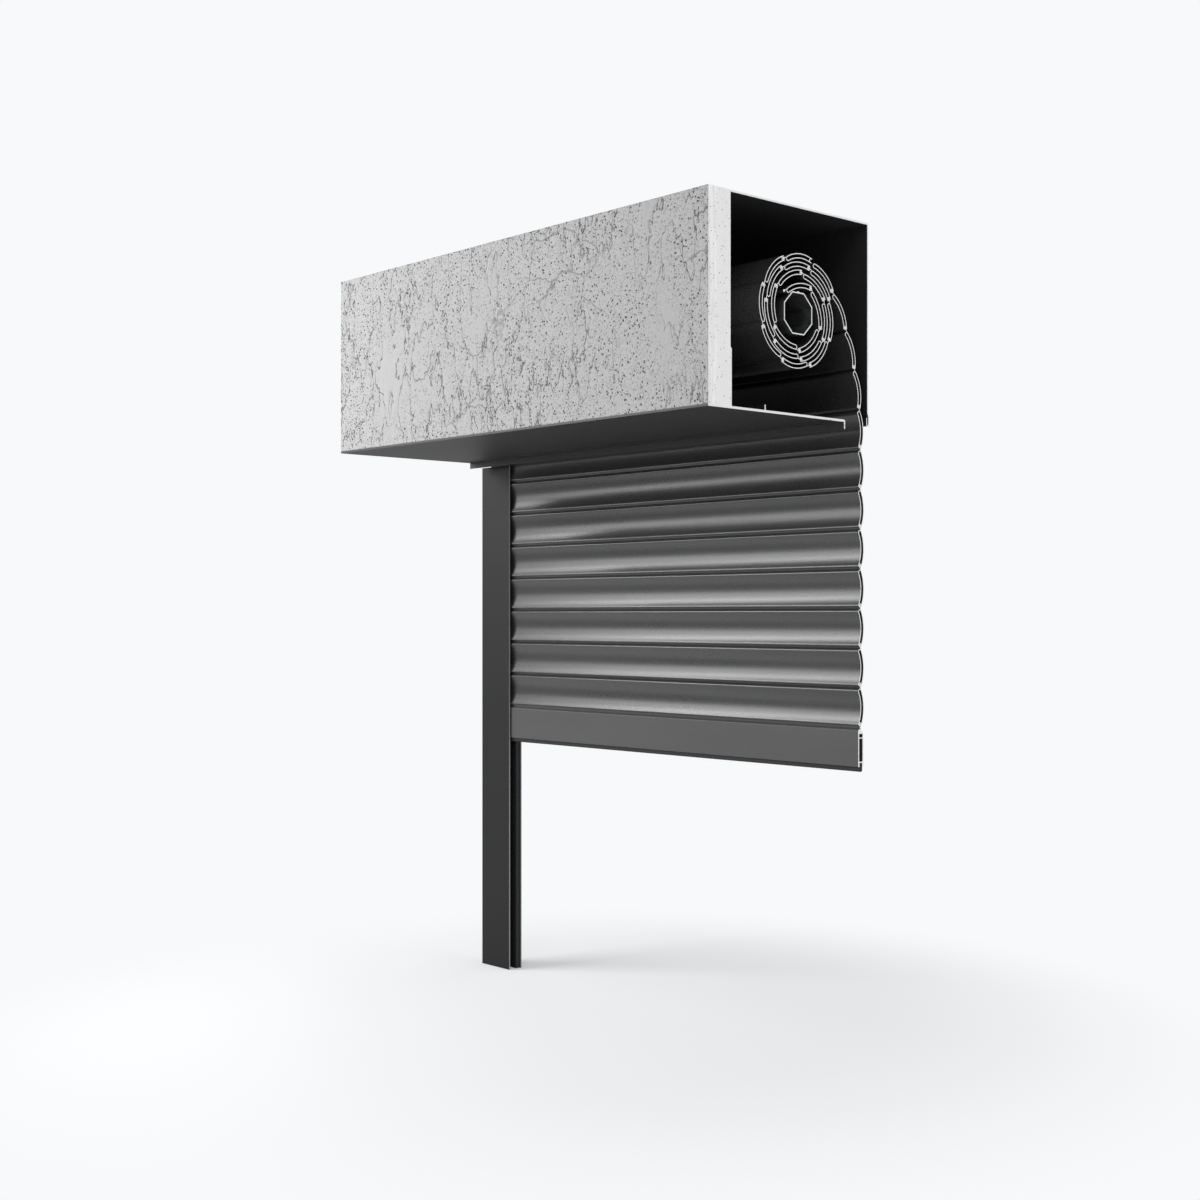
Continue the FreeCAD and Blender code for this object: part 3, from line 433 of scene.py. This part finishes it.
def makePlaster():
    look = plasterLook
    low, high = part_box("render_coat")
    acrossCount = round((high.x - low.x) / plaster["cell"])
    upCount = round((high.z - low.z) / plaster["cell"])
    slab = bmesh.new()
    rows = []
    for row in range(upCount + 1):
        z = low.z + (high.z - low.z) * row / upCount
        rows.append([slab.verts.new((low.x + (high.x - low.x) * column / acrossCount, low.y, z))
                     for column in range(acrossCount + 1)])
    for lower, upper in zip(rows, rows[1:]):
        for column in range(acrossCount):
            slab.faces.new((lower[column], lower[column + 1], upper[column + 1], upper[column]))
    # the back is one face, and each side joins a back edge to the finely divided rim of the front
    rim = rows[0] + [row[-1] for row in rows[1:]] + rows[-1][-2::-1] + [row[0] for row in rows[-2:0:-1]]
    corners = [rows[0][0], rows[0][-1], rows[-1][-1], rows[-1][0]]
    back = {corner: slab.verts.new((corner.co.x, high.y, corner.co.z)) for corner in corners}
    spots = [rim.index(corner) for corner in corners]
    for first, last in zip(spots, spots[1:] + [len(rim)]):
        side = rim[first:last] + [rim[last % len(rim)]]
        slab.faces.new([back[side[0]], back[side[-1]]] + side[::-1])
    slab.faces.new([back[corner] for corner in corners[::-1]])
    bmesh.ops.recalc_face_normals(slab, faces=slab.faces)
    host = bpy.data.meshes.new("plasterSlab")
    slab.to_mesh(host)
    slab.free()
    growth = Growth("plasterRelief", {
        "Front": low.y, "Left": low.x, "Right": high.x, "Low": low.z, "High": high.z,
        "Pit Depth": plaster["pitDepth"], "Tear Depth": plaster["tearDepth"], "Wave": plaster["wave"]})
    spot = growth.node("GeometryNodeInputPosition")
    x = growth.node("ShaderNodeSeparateXYZ", {}, {0: spot}, 0)
    y, z = [Wire(growth.tree, x.socket.node.outputs[index]) for index in (1, 2)]
    crowd = growth.node("ShaderNodeTexNoise", {}, {
        "Vector": growth.node("ShaderNodeVectorMath", {"operation": "MULTIPLY"}, {
            0: spot, 1: look["crowdStretch"]}),
        "Scale": look["crowdScale"], "Detail": 3.0, "Roughness": 0.6})
    pits = growth.node("ShaderNodeTexVoronoi", {}, {"Vector": spot, "Scale": look["pitScale"]})
    pits = pits.falling(*plaster["pitWidth"]) * crowd.rising(*look["pitCrowd"])
    drag = growth.node("ShaderNodeVectorMath", {"operation": "MULTIPLY"}, {0: spot, 1: look["tearStretch"]})
    drag = growth.node("ShaderNodeTexNoise", {}, {
        "Vector": drag, "Scale": look["tearScale"], "Detail": 4.0, "Roughness": 0.55})
    patch = growth.node("ShaderNodeVectorMath", {"operation": "ADD"}, {0: spot, 1: (look["patchShift"],) * 3})
    patch = growth.node("ShaderNodeTexNoise", {}, {
        "Vector": patch, "Scale": look["patchScale"], "Detail": 2.0})
    tears = abs(drag - 0.5).falling(0.0, look["tearWidth"] * 2) * patch.rising(*look["tearPatch"])
    swell = growth.node("ShaderNodeTexNoise", {}, {
        "Vector": spot, "Scale": plaster["waveScale"], "Detail": 2.0})
    # the relief dies out towards the slab's arrises, so that they stay straight
    margin = plaster["margin"]
    edge = (x - growth.input("Left")).rising(0.0, margin)
    edge = edge * (growth.input("Right") - x).rising(0.0, margin)
    edge = edge * (z - growth.input("Low")).rising(0.0, margin)
    edge = edge * (growth.input("High") - z).rising(0.0, margin)
    outer = (y - growth.input("Front")) < plaster["skin"]
    depth = (pits * growth.input("Pit Depth")).most(tears * growth.input("Tear Depth"))
    depth = (depth + swell * growth.input("Wave")) * edge * outer
    moved = growth.node("GeometryNodeSetPosition", {}, {
        "Geometry": growth.input("Geometry"),
        "Offset": growth.node("ShaderNodeCombineXYZ", {}, {1: depth})})
    # the same depth is kept on the points for the finish, which darkens by it as painted shade
    marked = growth.node("GeometryNodeStoreNamedAttribute", {"data_type": "FLOAT", "domain": "POINT"}, {
        "Geometry": moved, "Name": "pitDepth", "Value": pits.most(tears) * outer * edge})
    return growth.bake("plasterFace", host, marked, finishes["render"])


plasterMesh = makePlaster()
for polygon in plasterMesh.polygons:
    polygon.use_smooth = len(polygon.vertices) == 4 and abs(polygon.normal.y) > plaster["smoothTilt"]
addPiece("plasterFace", plasterMesh, "frame", ["render_coat"])
print("plaster face made,", len(plasterMesh.polygons), "faces")

# The slats: one extruded section, set on hinge points by Geometry Nodes, one mesh for each body
slat = {
    "pitch": 0.039, "span": 0.033, "bow": 0.0036, "wall": 0.0008, "ringOuter": 0.0024, "ringInner": 0.0016,
    "bead": 0.0013, "neck": 0.0009, "neckLean": 15, "mouthRear": 48, "mouthFront": 173, "heel": 0.75,
    "crease": 32, "hangingCount": 7,
}
arcSteps = {
    "bow": 28, "shoulder": 6, "bead": 16, "lip": 3, "ring": 16, "foot": 4, "hollow": 24, "cap": 8, "floor": 6,
}


def polar(centre, radius, angle):
    # the point at an angle in degrees
    return (centre[0] + radius * math.cos(math.radians(angle)),
            centre[1] + radius * math.sin(math.radians(angle)))


def arcPoints(centre, radius, first, last, count):
    # points from one angle to another, in degrees; the last is left for the next run
    return [polar(centre, radius, first + (last - first) * step / count) for step in range(count)]


def slatSection(closedTop):
    # seen along X: a ring at the foot, two bowed skins, and above them a bead on a leaning neck
    span, pitch, neck, bead = slat["span"], slat["pitch"], slat["neck"], slat["bead"]
    front, rear = slat["mouthFront"], slat["mouthRear"]
    outer, inner = slat["ringOuter"], slat["ringOuter"] - slat["wall"]
    slope = math.degrees(2 * math.atan(2 * slat["bow"] / span))
    bowRadius = span / 2 / math.sin(math.radians(slope))
    centre = (-bowRadius * math.cos(math.radians(slope)), span / 2)
    foot, crown, top = (0, 0), (0.0, span), (0.0, pitch)
    lean = math.radians(slat["neckLean"])
    drop = pitch - span
    feet = []
    for side in (1, -1):
        offset = drop * math.sin(lean) - side * neck / 2
        reach = drop * math.cos(lean) - math.sqrt(outer ** 2 - offset ** 2)
        feet.append((reach * math.sin(lean) + side * neck / 2 * math.cos(lean),
                     pitch - reach * math.cos(lean) + side * neck / 2 * math.sin(lean)))
    footAngles = [math.degrees(math.atan2(z - crown[1], y)) for y, z in feet]
    outline = arcPoints(centre, bowRadius + outer, -slope, slope, arcSteps["bow"])
    outline += arcPoints(crown, outer, slope, footAngles[0], arcSteps["shoulder"])
    if closedTop:
        outline.append(feet[0])
        spread = math.degrees(math.asin(neck / 2 / bead))
        down = -90 + slat["neckLean"]
        outline += arcPoints(top, bead, down + spread, down + 360 - spread, arcSteps["bead"])
        outline.append(polar(top, bead, down - spread))
    outline += arcPoints(crown, outer, footAngles[1], 180 + slope, arcSteps["shoulder"])
    outline += arcPoints(centre, bowRadius - outer, slope, -slope, arcSteps["bow"])
    outline += arcPoints(foot, outer, 180 - slope, 360 - front, arcSteps["lip"])
    outline.append(polar(foot, outer, -front))
    outline += arcPoints(foot, slat["ringInner"], 360 - front, -rear, arcSteps["ring"])
    outline.append(polar(foot, slat["ringInner"], -rear))
    outline += arcPoints(foot, outer, -rear, -slope, arcSteps["foot"])
    # the hollow starts above the ring, whose top is its floor
    spread = math.degrees(math.asin(inner / outer))
    low = -slope + math.degrees(outer * slat["heel"] / bowRadius)
    hollow = arcPoints(centre, bowRadius + inner, low, slope, arcSteps["hollow"])
    hollow += arcPoints(crown, inner, slope, 180 + slope, arcSteps["cap"])
    hollow += arcPoints(centre, bowRadius - inner, slope, low, arcSteps["hollow"])
    hollow += arcPoints(foot, outer, 90 - slope + spread, 90 - slope - spread, arcSteps["floor"])
    return outline, hollow


def extrudeSection(name, loops, low, high):
    # sides along X between two ends, each end filled between the outline and the hollow
    shape = bmesh.new()
    ends = []
    for x in (low, high):
        ends.append([[shape.verts.new((x, y, z)) for y, z in loop] for loop in loops])
    for left, right in zip(*ends):
        for index in range(len(left)):
            after = (index + 1) % len(left)
            shape.faces.new((left[index], left[after], right[after], right[index])).smooth = True
    flat = [[Vector((y, z, 0)) for y, z in loop] for loop in loops]
    for corners in tessellate_polygon(flat):
        for end in ends:
            run = [vert for loop in end for vert in loop]
            shape.faces.new([run[corner] for corner in corners])
    bmesh.ops.recalc_face_normals(shape, faces=shape.faces)
    for edge in shape.edges:
        if len(edge.link_faces) == 2 and edge.calc_face_angle(0) > math.radians(slat["crease"]):
            edge.smooth = False
    mesh = bpy.data.meshes.new(name)
    shape.to_mesh(mesh)
    shape.free()
    return mesh


# Hinge points: those of the hanging slats and the chain are the joints' own, those of the roll
# follow the same winding rule as the solids
winding = {
    "count": 22, "gap": 0.0022, "first": 0.0318, "reach": 0.0275, "leaving": 29, "lift": 0.001,
    "closeness": 1e-9,
}
joints = {joint["name"]: joint for joint in frame["joints"]}
shaftPlace = joints["shaft_turn"]["pos_m"]
chain = [tuple(joints[f"slat_{index:02d}_hinge"]["pos_m"][1:]) for index in range(8, 13)]


def rollPoints():
    # each point lies over the turn below it, higher by a ring and the gap, less the bow
    rise = 2 * slat["ringOuter"] + winding["gap"] - slat["bow"]
    pitch = slat["pitch"]

    def above(radius):
        return math.hypot(radius + rise, pitch / 2)

    first, reach = winding["first"], winding["reach"]
    turns, radii = [0.0], [first]

    def radiusAt(turned):
        below = turned - 2 * math.pi
        if below <= 0:
            return first + (above(first) - first) * turned / (2 * math.pi)
        index = next(place for place in range(1, len(turns)) if turns[place] >= below)
        share = (below - turns[index - 1]) / (turns[index] - turns[index - 1])
        return above(radii[index - 1] + share * (radii[index] - radii[index - 1]))

    # the innermost point is where the hangers grip, nearer the shaft
    turns.insert(0, -math.acos((reach ** 2 + first ** 2 - pitch ** 2) / (2 * reach * first)))
    radii.insert(0, reach)
    for _ in range(winding["count"] - 1):
        near, far = turns[-1], turns[-1] + math.pi
        while far - near > winding["closeness"]:
            turned = (near + far) / 2
            radius = radiusAt(turned)
            last, between = radii[-1], turned - turns[-1]
            gap = math.sqrt(last ** 2 + radius ** 2 - 2 * last * radius * math.cos(between))
            near, far = (turned, far) if gap < pitch else (near, turned)
        turns.append(far)
        radii.append(radiusAt(far))
    # the outermost slat is lifted a little, where it leaves the roll
    for index in (-2, -1):
        radii[index] += winding["lift"]
    points = []
    for turned, radius in zip(turns, radii):
        angle = math.radians(winding["leaving"]) + turns[-1] - turned
        points.append((shaftPlace[1] + radius * math.cos(angle), shaftPlace[2] + radius * math.sin(angle)))
    return points


def leanOf(low, high):
    return math.atan2(low[0] - high[0], high[1] - low[1])


def hostOf(name, places):
    # one vertex for each slat, with the turn that it leans by
    mesh = bpy.data.meshes.new(name)
    mesh.from_pydata([(0, y, z) for y, z, lean in places], [], [])
    turned = mesh.attributes.new("lean", "FLOAT_VECTOR", "POINT")
    for index, (y, z, lean) in enumerate(places):
        turned.data[index].vector = (lean, 0, 0)
    return mesh


def makeSlats(name, places, pattern):
    growth = Growth(name + "Tree", {"Slat": pattern, "Size": 1.0})
    lean = growth.node("GeometryNodeInputNamedAttribute", {"data_type": "FLOAT_VECTOR"}, {"Name": "lean"})
    shape = growth.node("GeometryNodeObjectInfo", {}, {"Object": growth.input("Slat")}, "Geometry")
    rows = growth.node("GeometryNodeInstanceOnPoints", {}, {
        "Points": growth.input("Geometry"), "Instance": shape,
        "Rotation": lean, "Scale": growth.input("Size")})
    return growth.bake(name, hostOf(name + "Points", places), rows, finishes["slat_paint"])


slatLow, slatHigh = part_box("slat_01")
patterns = {}
for title, closedTop in (("closed", True), ("open", False)):
    mesh = extrudeSection(title + "Slat", slatSection(closedTop), slatLow.x, slatHigh.x)
    patterns[title] = bpy.data.objects.new(title + "Pattern", mesh)
    scene.collection.objects.link(patterns[title])
roll = rollPoints()
hangingCount = slat["hangingCount"]
straightY, straightTop = chain[0]
hanging = [(straightY, straightTop - slat["pitch"] * (hangingCount - index), 0.0)
           for index in range(hangingCount)]
leans = [leanOf(low, high) for low, high in zip(chain, chain[1:])] + [leanOf(chain[-1], roll[-2])]
woundPlaces = [(*roll[index], leanOf(roll[index], roll[index - 1])) for index in range(len(roll) - 2, 0, -1)]
hangingNodes = [f"slat_{index + 1:02d}" for index in range(hangingCount)]
woundNodes = [name for name in frame["nodes"] if name.startswith("wound_turn_")]
slatMesh = makeSlats("hangingSlats", hanging, patterns["closed"])
addPiece("hangingSlats", slatMesh, "curtain", hangingNodes)
slatMesh = makeSlats("woundSlats", woundPlaces, patterns["closed"])
addPiece("woundSlats", slatMesh, "shaft", woundNodes)
for index, (place, lean) in enumerate(zip(chain, leans), hangingCount + 1):
    name = f"slat_{index:02d}"
    pattern = patterns["open" if place == chain[-1] else "closed"]
    slatMesh = makeSlats("chainSlat" + str(index), [(*place, lean)], pattern)
    addPiece("chainSlat" + str(index), slatMesh, name, [name])
for pattern in patterns.values():
    bpy.data.objects.remove(pattern)
print("slats made,", len(hanging) + len(woundPlaces) + len(chain))

# The stage: a pale floor that fades into the backdrop, with the part's own soft shadow
stage = {
    "backdrop": (0.930, 0.947, 0.965), "floor": (0.97, 0.975, 0.98),
    "fadeStart": 0.25, "fadeEnd": 0.70, "evened": 0.30, "reach": 6.0, "drop": 0.0004,
}


def makeFloor():
    finish = Finish("paleFloor")
    far = finish.node("ShaderNodeVectorMath", {"operation": "LENGTH"}, {0: finish.place}, "Value")
    fade = far.rising(stage["fadeStart"], stage["fadeEnd"])
    matt = finish.node("ShaderNodeBsdfDiffuse", {}, {"Color": (*stage["floor"], 1)})
    glow = finish.node("ShaderNodeEmission", {}, {"Color": (*stage["backdrop"], 1), "Strength": 1.0})
    ray = finish.node("ShaderNodeLightPath", {}, {}, "Is Camera Ray")
    even = fade * (1 - stage["evened"]) + stage["evened"]
    mixed = finish.node("ShaderNodeMixShader", {}, {0: even * ray, 1: matt, 2: glow})
    output = finish.tree.nodes.new("ShaderNodeOutputMaterial")
    finish.tree.links.new(mixed.socket, output.inputs["Surface"])
    mesh = bpy.data.meshes.new("paleFloor")
    reach = stage["reach"]
    corners = [(-reach, -reach, 0), (reach, -reach, 0), (reach, reach, 0), (-reach, reach, 0)]
    mesh.from_pydata(corners, [], [(0, 1, 2, 3)])
    mesh.materials.append(finish.material)
    floor = bpy.data.objects.new("paleFloor", mesh)
    floor.location = (0, 0, cadBox[0][2] - stage["drop"])
    scene.collection.objects.link(floor)


makeFloor()

# The world: a soft even light, seen by the camera as the backdrop
world = bpy.data.worlds.new("studio")
world.use_nodes = True
scene.world = world
world.node_tree.nodes.clear()
rays = world.node_tree.nodes.new("ShaderNodeLightPath")
seen = Wire(world.node_tree, rays.outputs["Is Camera Ray"])
fill = {"strength": 0.37, "seenStrength": 1.0}
soft = addNode(world.node_tree, "ShaderNodeBackground", {}, {
    "Color": (1, 1, 1, 1), "Strength": fill["strength"]})
sky = addNode(world.node_tree, "ShaderNodeBackground", {}, {
    "Color": (*stage["backdrop"], 1), "Strength": fill["seenStrength"]})
both = addNode(world.node_tree, "ShaderNodeMixShader", {}, {0: seen, 1: soft, 2: sky})
worldOutput = world.node_tree.nodes.new("ShaderNodeOutputWorld")
world.node_tree.links.new(both.socket, worldOutput.inputs["Surface"])

# Lamps: two broad panels, and two long ones that the bright bands on the slats mirror, the second
# lower and dimmer, for the slats under the cover
lamps = [
    {"name": "keyPanel", "place": (1.6, -2.2, 2.3), "aim": (0.0, 0.0, 0.45),
     "size": (1.3, 1.3), "power": 13},
    {"name": "sidePanel", "place": (2.6, 0.4, 1.3), "aim": (0.1, 0.0, 0.6),
     "size": (1.6, 1.6), "power": 17},
    {"name": "bandPanel", "place": (-1.0, -1.15, 1.15), "aim": (0.0, 0.1, 0.35),
     "size": (1.15, 0.30), "power": 17},
    {"name": "lowBandPanel", "place": (-0.95, -1.15, 0.74), "aim": (0.0, 0.1, 0.62),
     "size": (1.0, 0.34), "power": 7},
]
for lamp in lamps:
    light = bpy.data.lights.new(lamp["name"], "AREA")
    light.energy = lamp["power"]
    light.shape = "RECTANGLE"
    light.size, light.size_y = lamp["size"]
    holder = bpy.data.objects.new(lamp["name"], light)
    holder.location = lamp["place"]
    sight = Vector(lamp["aim"]) - Vector(lamp["place"])
    holder.rotation_euler = sight.to_track_quat("-Z", "Y").to_euler()
    scene.collection.objects.link(holder)
scene.view_settings.view_transform = "Standard"
print("stage and lamps set")
